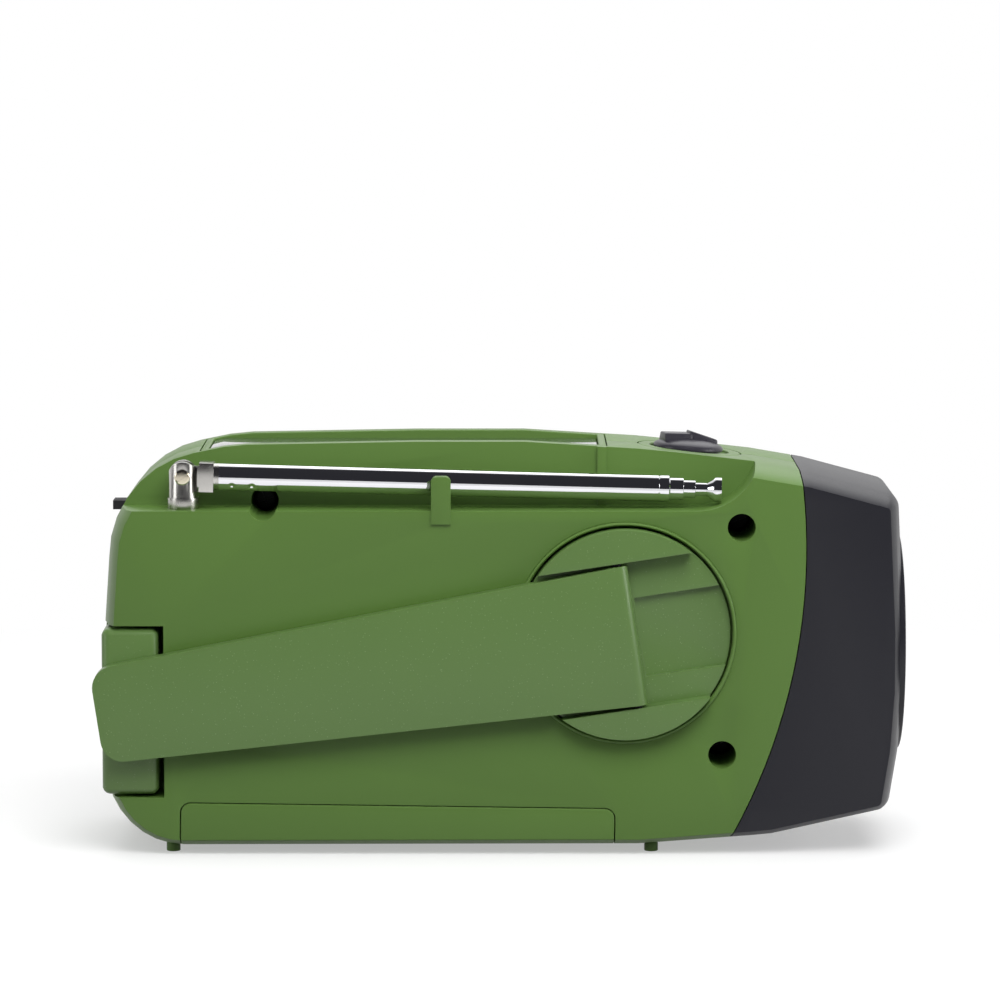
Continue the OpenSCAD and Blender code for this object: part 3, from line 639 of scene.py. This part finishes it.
def slotted_head(radius: float, height: float, centre: Vector, axis: Vector, slots: Sequence[float],
                 slot_width: float) -> bmesh.types.BMesh:
    """Make a low round screw head with slots sunk in its top.

    Args:
        radius: Head radius, in metres.
        height: Head height, in metres.
        centre: Middle of the head's underside.
        axis: The way that the head faces.
        slots: Angle of each slot about the axis, in degrees.
        slot_width: Width of each slot, in metres.

    Returns:
        The closed shape.
    """
    shape = turned([(0, 0), (radius, 0), (radius, height * 0.55), (radius * 0.86, height * 0.9),
                    (radius * 0.7, height), (0, height)], Vector(), Vector((0, 0, 1)), 48)
    bmesh.ops.dissolve_limit(shape, angle_limit=math.radians(0.5), verts=shape.verts, edges=shape.edges)
    for angle in slots:
        side = Vector((-math.sin(math.radians(angle)), math.cos(math.radians(angle)), 0))
        for sign in (-1, 1):
            bmesh.ops.bisect_plane(shape, geom=shape.verts[:] + shape.edges[:] + shape.faces[:],
                                   plane_co=side * sign * slot_width / 2, plane_no=side, dist=1e-7)
    floor = [f for f in shape.faces if f.normal.z > 0.9 and f.calc_center_median().z > height * 0.95
             and any(abs(f.calc_center_median().dot(Vector((-math.sin(math.radians(a)),
                                                            math.cos(math.radians(a)), 0))))
                     < slot_width / 2 for a in slots)]
    sunk = bmesh.ops.extrude_face_region(shape, geom=floor)
    bmesh.ops.delete(shape, geom=floor, context="FACES_ONLY")
    points = [v for v in sunk["geom"] if isinstance(v, bmesh.types.BMVert)]
    bmesh.ops.translate(shape, vec=(0, 0, -height * 0.45), verts=points)
    bmesh.ops.recalc_face_normals(shape, faces=shape.faces)
    turn = axis.to_track_quat("Z", "Y").to_matrix().to_4x4()
    bmesh.ops.transform(shape, matrix=Matrix.Translation(centre) @ turn, verts=shape.verts)
    return shape


# ---------------------------------------------------------------- sub-assemblies


@dataclass
class BodyShell:
    """The green shells with their trims, feet, screws and the lip round the crank disc's well.

    The screw centres are x and z in millimetres.
    """

    shell_edge: float = 0.5 * MM
    trim_edge: float = 0.25 * MM
    lip_inner: float = 21.62 * MM
    lip_outer: float = 22.3 * MM
    lip_depth: float = 0.75 * MM
    screw_centres: tuple[tuple[float, float], ...] = ((-48.4, 70.4), (47.2, 66.2), (43.5, 20.4), (-63.0, 25.5))
    screw_radius: float = 2.4 * MM
    screw_height: float = 0.9 * MM
    screw_slot: float = 0.5 * MM

    def build(self) -> None:
        """Build the shells and what is fixed to them."""
        soften(Finish.BODY_GREEN, ("back_cover", "front_cover"), self.shell_edge)
        soften(Finish.BODY_GREEN, ("solar_frame", "knob_plate", "battery_door", "feet"), self.trim_edge)
        dress(Finish.BLACK_STEEL, "case_screws")
        self.well_lip()
        self.screw_heads()

    def well_lip(self) -> None:
        """Build the raised lip in the shallow step round the well."""
        low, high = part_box("crank_disc")
        face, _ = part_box("back_cover")
        centre = Vector(((low.x + high.x) / 2, face.y, (low.z + high.z) / 2))
        a, b, d = self.lip_inner, self.lip_outer, self.lip_depth
        lip = turned([(a, -d), (a, -0.2 * MM), (a + 0.1 * MM, -0.04 * MM), (a + 0.28 * MM, 0.06 * MM),
                      (b - 0.24 * MM, 0.03 * MM), (b - 0.07 * MM, -0.08 * MM), (b, -0.24 * MM), (b, -d), (a, -d)],
                     centre, BACKWARDS, 160)
        add_piece("well_lip", lip, "case", Finish.BODY_GREEN)

    def screw_heads(self) -> None:
        """Build a dark cross-head on each screw, at the bottom of its recess."""
        low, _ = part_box("case_screws")
        heads = [slotted_head(self.screw_radius, self.screw_height, Vector((x * MM, low.y - 0.05 * MM, z * MM)),
                              BACKWARDS, [20.0, 110.0], self.screw_slot) for x, z in self.screw_centres]
        add_piece("screw_heads", merged(heads), "case", Finish.BLACK_STEEL)


@dataclass
class TorchHead:
    """The black torch end: head, bezel, lens and lamp."""

    head_edge: float = 0.35 * MM
    bezel_edge: float = 0.3 * MM

    def build(self) -> None:
        """Build the head and dress the torch parts."""
        soften(Finish.HEAD_BLACK, ("torch_head",), self.head_edge)
        soften(Finish.HEAD_BLACK, ("lens_bezel",), self.bezel_edge)
        dress(Finish.CLEAR, "torch_lens")
        dress(Finish.MIRROR, "torch_reflector")
        dress(Finish.BOARD, "torch_board")
        dress(Finish.LAMP, "torch_led")


@dataclass
class Crank:
    """The crank: disc, folding arm and grip, with the shaft and pins that carry them."""

    arm_edge: float = 0.8 * MM
    disc_edge: float = 0.5 * MM
    grip_edge: float = 0.2 * MM

    def build(self) -> None:
        """Build the crank's pieces."""
        soften(Finish.ARM_GREEN, ("crank_disc",), self.disc_edge)
        soften(Finish.ARM_GREEN, ("crank_grip",), self.grip_edge, 3, 60.0)
        self.arm()
        dress(Finish.BLACK_STEEL, "arm_pin")
        dress(Finish.STEEL, "crank_shaft", "grip_pin")
        dress(Finish.BRASS, "crank_bush")

    def arm(self) -> None:
        """Build the flat arm with soft edges all round."""
        shape = cad_copy("crank_arm")
        round_edges(shape, self.arm_edge, 4, 50)
        add_piece("arm_shell", shape, body_name("crank_arm"), Finish.ARM_GREEN, ["crank_arm"])


@dataclass
class Works:
    """The gear train, dynamo, battery and main board inside the body."""

    def build(self) -> None:
        """Dress the inner parts."""
        dress(Finish.IVORY, "drive_gear", "idler_gear")
        dress(Finish.STEEL, "idler_axle", "dynamo_rotor")
        dress(Finish.COPPER, "dynamo_stator")
        dress(Finish.GREY_PLASTIC, "gearbox_plate")
        dress(Finish.SLEEVE, "battery_cell")
        dress(Finish.SATIN_NICKEL, "battery_contacts")
        dress(Finish.BOARD, "main_board")


@dataclass
class FrontPanel:
    """Speaker, display, knobs and buttons on the front face."""

    knob_edge: float = 0.3 * MM
    grille_edge: float = 0.15 * MM

    def build(self) -> None:
        """Build the controls and dress what is behind them."""
        soften(Finish.KNOB_BLACK, ("tuning_knob", "volume_knob"), self.knob_edge)
        soften(Finish.KNOB_BLACK, ("button_power", "button_band", "button_lamp", "button_alarm"), self.knob_edge)
        soften(Finish.KNOB_BLACK, ("speaker_grille",), self.grille_edge, 2)
        dress(Finish.WINDOW, "display_window")
        dress(Finish.DISPLAY, "display_panel")
        dress(Finish.GREY_PLASTIC, "speaker_frame", "volume_unit")
        dress(Finish.STEEL, "speaker_magnet")
        dress(Finish.PAPER, "speaker_cone")
        dress(Finish.IVORY, "tuning_unit", "button_switches")


@dataclass
class Ports:
    """The two sockets and the rubber flap over them, rounded more along its outer edges."""

    outer_reach: float = 2.2 * MM
    outer_radius: float = 0.7 * MM
    flap_edge: float = 0.2 * MM

    def build(self) -> None:
        """Build the flap in place of its plain solid and dress the sockets."""
        low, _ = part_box("port_cover")
        shape = cad_copy("port_cover")
        round_edges(shape, self.outer_radius, 5, 40,
                    lambda edge: all(v.co.x < low.x + self.outer_reach for v in edge.verts))
        round_edges(shape, self.flap_edge, 3)
        add_piece("port_flap", shape, body_name("port_cover"), Finish.RUBBER, ["port_cover"])
        dress(Finish.SATIN_NICKEL, "charge_socket")
        dress(Finish.GREY_PLASTIC, "phone_socket")


@dataclass
class SolarDeck:
    """The solar panel in the top."""

    panel_edge: float = 0.15 * MM

    def build(self) -> None:
        """Build the panel."""
        soften(Finish.SOLAR, ("solar_panel",), self.panel_edge)


@dataclass
class SelectorKnob:
    """The low black knob: a domed skirt under two finger ribs, one flat and one sloping.

    A rib is its left end, right end, width and its height at the left and right, in millimetres.
    """

    slope: float = 4.7
    skirt: float = 7.1 * MM
    dome: float = 2.3 * MM
    turn: float = 14.0
    flat_rib: tuple[float, float, float, float, float] = (-5.6, 0.2, 5.4, 3.15, 3.35)
    sloping_rib: tuple[float, float, float, float, float] = (-0.2, 5.7, 4.4, 3.85, 2.3)

    def build(self) -> None:
        """Build the knob in place of its plain solid."""
        low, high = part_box("mode_knob")
        tilt = Matrix.Rotation(math.radians(self.slope), 4, "Y")
        seat = Matrix.Translation(Vector(((low.x + high.x) / 2 - 0.0003, (low.y + high.y) / 2, 0)))
        foot = high.z - 4.35 * MM
        r, top = self.skirt, self.dome
        arc = [(r * math.cos(t), 0.5 * MM + (top - 0.5 * MM) * math.sin(t))
               for t in (math.radians(k * 7.5) for k in range(12))]
        skirt = turned([(0, -3.0 * MM), (2 * MM, -3.0 * MM), (2 * MM, 0), (r - 0.2 * MM, 0), (r, 0.2 * MM),
                        *arc, (0, top)], Vector(), Vector((0, 0, 1)), 96)
        knob = merged([skirt, self.rib(self.flat_rib), self.rib(self.sloping_rib)])
        bmesh.ops.transform(knob, matrix=seat @ Matrix.Translation((0, 0, foot)) @ tilt, verts=knob.verts)
        add_piece("selector_knob", knob, body_name("mode_knob"), Finish.KNOB_BLACK, ["mode_knob"])
        dress(Finish.GREY_PLASTIC, "mode_switch")

    def rib(self, sizes: tuple[float, float, float, float, float]) -> bmesh.types.BMesh:
        """Make one rib.

        Args:
            sizes: Left end, right end, width, height at the left and at the right, in millimetres.

        Returns:
            The closed shape.
        """
        left, right, width, rise_left, rise_right = sizes
        bar = bmesh.new()
        bmesh.ops.create_cube(bar, size=1.0)
        for vert in bar.verts:
            upper = vert.co.z > 0
            draw = 0.72 if upper else 1.0
            rise = rise_left if vert.co.x < 0 else rise_right
            vert.co = Vector((left if vert.co.x < 0 else right, math.copysign(width / 2 * draw, vert.co.y),
                              rise if upper else 0.8)) * MM
        round_edges(bar, 0.3 * MM, 4, 20)
        bmesh.ops.rotate(bar, matrix=Matrix.Rotation(math.radians(self.turn), 3, "Z"), verts=bar.verts)
        return bar


@dataclass
class Antenna:
    """The telescopic antenna: post, end fitting, crimped outer tube, inner tubes and pivot screw."""

    droop: float = 1.5
    start: float = 7.4 * MM
    length: float = 97.6 * MM
    radius: float = 2.7 * MM
    crimps: tuple[float, ...] = (9.9 * MM, 13.9 * MM)
    crimp_angle: float = -36.0
    crimp_reach: float = 0.75 * MM
    crimp_depth: float = 0.3 * MM
    post_edge: float = 0.25 * MM
    tube_edge: float = 0.12 * MM
    screw_radius: float = 1.55 * MM
    screw_height: float = 0.6 * MM
    screw_slot: float = 0.5 * MM

    def pivot(self) -> Vector:
        """Return the pivot's centre."""
        low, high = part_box("antenna_pivot")
        return (low + high) / 2

    def axis(self) -> Vector:
        """Return the direction from the pivot to the tip."""
        angle = math.radians(self.droop)
        return Vector((math.cos(angle), 0, -math.sin(angle)))

    def build(self) -> None:
        """Build the antenna's pieces."""
        soften(Finish.SATIN_NICKEL, ("antenna_post",), self.post_edge)
        soften(Finish.CHROME, ("mast_tube_2", "mast_tube_3", "mast_tube_4"), self.tube_edge)
        soften(Finish.PALE_BRASS, ("antenna_pivot",), self.tube_edge)
        self.outer_tube()
        self.screw()

    def outer_tube(self) -> None:
        """Cut the long tube off its end fitting and make it again with two crimps."""
        pivot, axis = self.pivot(), self.axis()
        fitting = cad_copy("mast_tube_1")
        cut = bmesh.ops.bisect_plane(fitting, geom=fitting.verts[:] + fitting.edges[:] + fitting.faces[:],
                                     plane_co=pivot + axis * self.start, plane_no=axis, clear_outer=True)
        rims = [e for e in cut["geom_cut"] if isinstance(e, bmesh.types.BMEdge)]
        bmesh.ops.holes_fill(fitting, edges=rims)
        round_edges(fitting, self.post_edge, 3)
        add_piece("antenna_fitting", fitting, body_name("mast_tube_1"), Finish.SATIN_NICKEL, ["mast_tube_1"])

        r, a, b = self.radius, self.start - 0.3 * MM, self.length
        profile = [(0, a), (r - 0.15 * MM, a), (r, a + 0.15 * MM)]
        profile += [(r, a + 0.4 * MM + k * 0.12 * MM) for k in range(70)]
        profile += [(r, b - 2.4 * MM), (r - 0.12 * MM, b - 2.2 * MM), (r, b - 2.0 * MM), (r, b - 0.25 * MM),
                    (r - 0.25 * MM, b), (0, b)]
        tube = turned(profile, Vector(), Vector((0, 0, 1)), 96)
        for crimp in self.crimps:
            angle = math.radians(self.crimp_angle)
            spot = Vector((math.sin(angle) * r, -math.cos(angle) * r, crimp))
            for vert in tube.verts:
                gap = (vert.co - spot).length / self.crimp_reach
                if gap < 1:
                    vert.co -= Vector((vert.co.x, vert.co.y, 0)).normalized() * (
                        self.crimp_depth * (1 - gap * gap) ** 2)
        turn = Matrix((Vector((-axis.z, 0, axis.x)), Vector((0, 1, 0)), axis)).transposed().to_4x4()
        bmesh.ops.transform(tube, matrix=Matrix.Translation(pivot) @ turn, verts=tube.verts)
        bmesh.ops.recalc_face_normals(tube, faces=tube.faces)
        add_piece("antenna_outer_tube", tube, body_name("mast_tube_1"), Finish.CHROME)

    def screw(self) -> None:
        """Build the slotted head over the pivot."""
        low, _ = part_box("antenna_pivot")
        pivot = self.pivot()
        head = slotted_head(self.screw_radius, self.screw_height,
                            Vector((pivot.x, low.y + 0.25 * MM, pivot.z)), BACKWARDS, [35.0], self.screw_slot)
        add_piece("antenna_screw_head", head, body_name("antenna_pivot"), Finish.PALE_BRASS)


# ---------------------------------------------------------------- studio


def seen_rays(g: Graph, glossy: bool) -> bpy.types.NodeSocket:
    """Return 1 for the rays that see the white surroundings.

    Args:
        g: The writer of the material or world.
        glossy: Whether mirror rays are among them.

    Returns:
        The socket, 0 or 1.
    """
    rays = g.node("LightPath")
    seen = g.math("MAXIMUM", rays.outputs["Is Camera Ray"], rays.outputs["Is Transmission Ray"])
    return g.math("MAXIMUM", seen, rays.outputs["Is Glossy Ray"]) if glossy else seen


@dataclass(frozen=True)
class SoftBox:
    """A round soft light that points at the radio."""

    name: str
    place: Vector
    power: float
    size: float
    tint: tuple[float, float, float] = (1.0, 1.0, 1.0)
    in_reflections: bool = True

    def build(self) -> None:
        """Add the light."""
        lamp = bpy.data.lights.new(self.name, "AREA")
        lamp.shape = "DISK"
        lamp.size = self.size
        lamp.energy = self.power
        lamp.color = self.tint
        box = bpy.data.objects.new(self.name, lamp)
        box.location = self.place
        aim = Vector((0, 0, 0.04)) - self.place
        box.rotation_euler = aim.to_track_quat("-Z", "Y").to_euler()
        box.visible_glossy = self.in_reflections
        bpy.context.scene.collection.objects.link(box)


@dataclass
class Studio:
    """Pale floor, soft boxes and the camera."""

    camera_at: Vector = field(default_factory=lambda: Vector((-1.0, -1025.0, 179.0)) * MM)
    pitch: float = -6.12
    roll: float = 0.0
    focal: float = 181.7
    floor_half: float = 60.0
    floor_glow: float = 0.42
    floor_dark: tuple[float, float, float, float] = (0.2, 0.2, 0.2, 1.0)
    floor_pale: tuple[float, float, float, float] = (0.92, 0.92, 0.92, 1.0)
    white_from: tuple[float, float] = (0.13, 0.34)
    lights: tuple[SoftBox, ...] = (
        SoftBox("front_fill", Vector((-0.3, -1.5, 0.9)), 5.4, 1.4, in_reflections=False),
        SoftBox("key", Vector((0.12, -0.42, 0.5)), 3.0, 0.4, in_reflections=False),
        SoftBox("back_top", Vector((0.1, 0.75, 0.85)), 2.5, 0.9),
        SoftBox("overhead", Vector((-0.1, 0.0, 1.3)), 5.0, 1.0, in_reflections=False),
        SoftBox("left_side", Vector((-1.2, -0.5, 0.4)), 3.0, 0.6),
        SoftBox("right_side", Vector((1.2, -0.3, 0.4)), 6.0, 0.6),
    )

    def build(self) -> None:
        """Build the floor, lights, world and camera."""
        self.floor()
        self.world()
        for light in self.lights:
            light.build()
        self.camera()
        bpy.context.scene.view_settings.view_transform = "Standard"

    def floor(self) -> None:
        """Build the floor: real shading and shadow near the radio, plain white far from it."""
        shape = bmesh.new()
        bmesh.ops.create_grid(shape, x_segments=1, y_segments=1, size=self.floor_half)
        mesh = bpy.data.meshes.new("floor")
        shape.to_mesh(mesh)
        shape.free()
        floor = bpy.data.objects.new("floor", mesh)
        bpy.context.scene.collection.objects.link(floor)
        material, g, shader, place = blank_material("floor_white")
        g.link(g.mix(seen_rays(g, True), self.floor_dark, self.floor_pale), shader.inputs["Base Color"])
        shader.inputs["Roughness"].default_value = 0.7
        shader.inputs["Specular IOR Level"].default_value = 0.1
        away = g.node("VectorMath", Vector=place)
        away.operation = "LENGTH"
        reach = g.math("MAXIMUM", g.ramp(away.outputs["Value"], *self.white_from), self.floor_glow)
        far = g.math("MULTIPLY", reach, seen_rays(g, True))
        white = g.node("Emission", Color=(1, 1, 1, 1), Strength=1.0)
        both = g.node("MixShader")
        g.link(far, both.inputs[0])
        g.link(shader.outputs[0], both.inputs[1])
        g.link(white.outputs[0], both.inputs[2])
        output = next(n for n in g.tree.nodes if n.type == "OUTPUT_MATERIAL")
        g.link(both.outputs[0], output.inputs[0])
        mesh.materials.append(material)

    def world(self) -> None:
        """Light from a dim room that is brighter overhead and behind the radio."""
        world = bpy.data.worlds.new("studio")
        bpy.context.scene.world = world
        world.use_nodes = True
        world.node_tree.nodes.clear()
        g = Graph(world.node_tree)
        axes = g.node("SeparateXYZ", Vector=g.node("TexCoord").outputs["Generated"])
        back = g.ramp(axes.outputs["Y"], -0.3, 0.5)
        up = g.ramp(axes.outputs["Z"], 0.55, 0.95)
        dome = g.mix(g.math("MAXIMUM", back, up), (0.05, 0.05, 0.055, 1), (1.0, 1.0, 1.0, 1))
        mirrored = g.mix(g.ramp(axes.outputs["Y"], 0.2, 0.4), (0.03, 0.03, 0.035, 1), (1.0, 1.0, 1.0, 1))
        rays = g.node("LightPath")
        lit = g.node("Background", Color=dome, Strength=0.5)
        gloss = g.node("Background", Color=mirrored, Strength=1.0)
        white = g.node("Background", Color=(1, 1, 1, 1), Strength=1.0)
        first = g.node("MixShader")
        g.link(rays.outputs["Is Glossy Ray"], first.inputs[0])
        g.link(lit.outputs[0], first.inputs[1])
        g.link(gloss.outputs[0], first.inputs[2])
        second = g.node("MixShader")
        g.link(seen_rays(g, False), second.inputs[0])
        g.link(first.outputs[0], second.inputs[1])
        g.link(white.outputs[0], second.inputs[2])
        g.link(second.outputs[0], g.node("OutputWorld").inputs[0])

    def camera(self) -> None:
        """Add the camera on the crank side, a little above the radio."""
        data = bpy.data.cameras.new("camera")
        data.lens = self.focal
        data.sensor_width = 36.0
        camera = bpy.data.objects.new("camera", data)
        turn = Matrix.Rotation(math.radians(90 + self.pitch), 4, "X")
        camera.matrix_world = (Matrix.Translation(self.camera_at) @ turn
                               @ Matrix.Rotation(math.radians(self.roll), 4, "Z"))
        bpy.context.scene.collection.objects.link(camera)
        bpy.context.scene.camera = camera


def main() -> None:
    """Build every piece, dress the CAD nodes and set up the studio."""
    for part in (BodyShell(), TorchHead(), SolarDeck(), SelectorKnob(), Crank(), Works(), Antenna(),
                 FrontPanel(), Ports(), Studio()):
        part.build()


if __name__ == "__main__":
    logging.basicConfig(level=logging.INFO)
    main()
